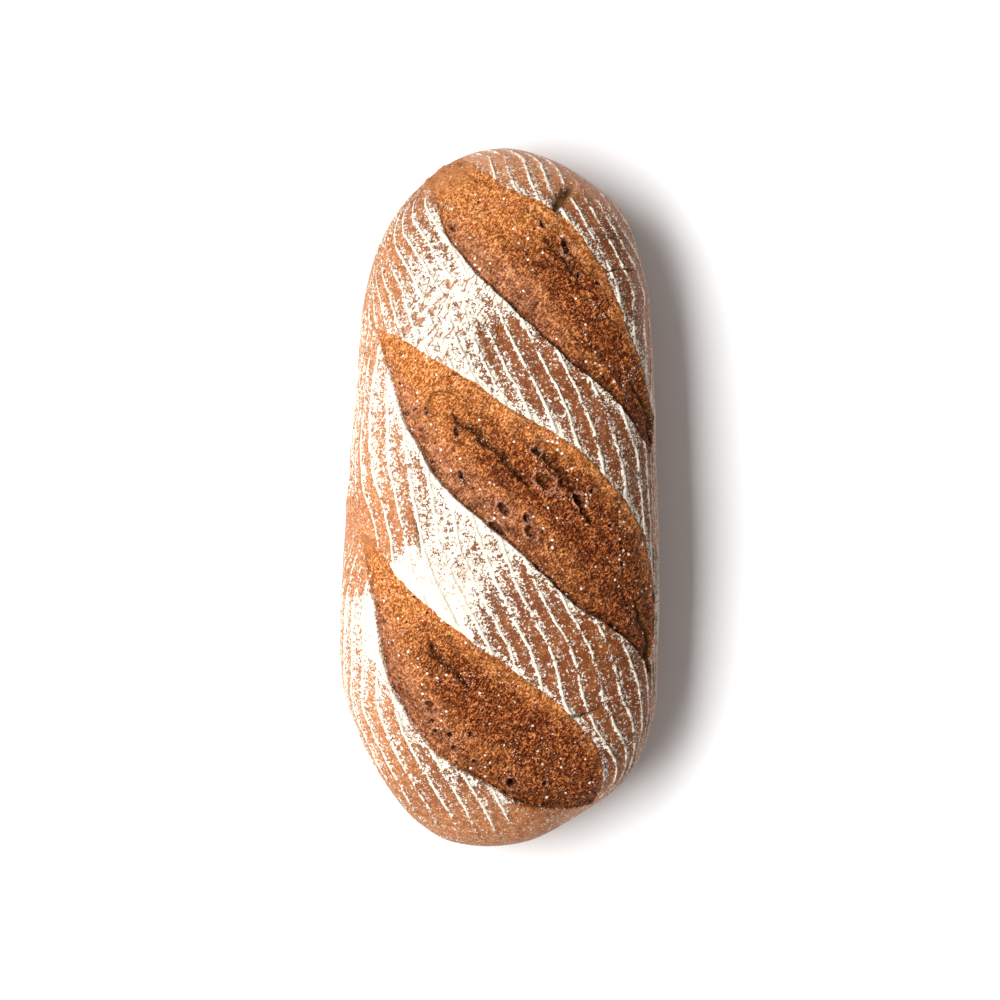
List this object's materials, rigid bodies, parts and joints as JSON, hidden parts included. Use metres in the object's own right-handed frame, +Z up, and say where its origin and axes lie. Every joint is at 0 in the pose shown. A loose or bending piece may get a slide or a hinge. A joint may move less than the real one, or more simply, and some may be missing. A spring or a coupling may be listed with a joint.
{
  "type": "bread loaf",
  "caption": "Long free-standing hearth loaf with a flat sole, bulging sides, slanting opened slashes and ringed flour on its crust.",
  "frame": {"origin": "on the resting surface under the middle of the loaf's bounding box", "axes": "+Z up from the flat sole, +Y along the loaf towards its head end, +X to the right when it is seen from above with the head end away"},
  "size_m": [0.144, 0.315, 0.086],
  "materials": {
    "crust": "matte"
  },
  "bodies": {
    "root": {"loaf": "crust"}
  },
  "joints": []
}
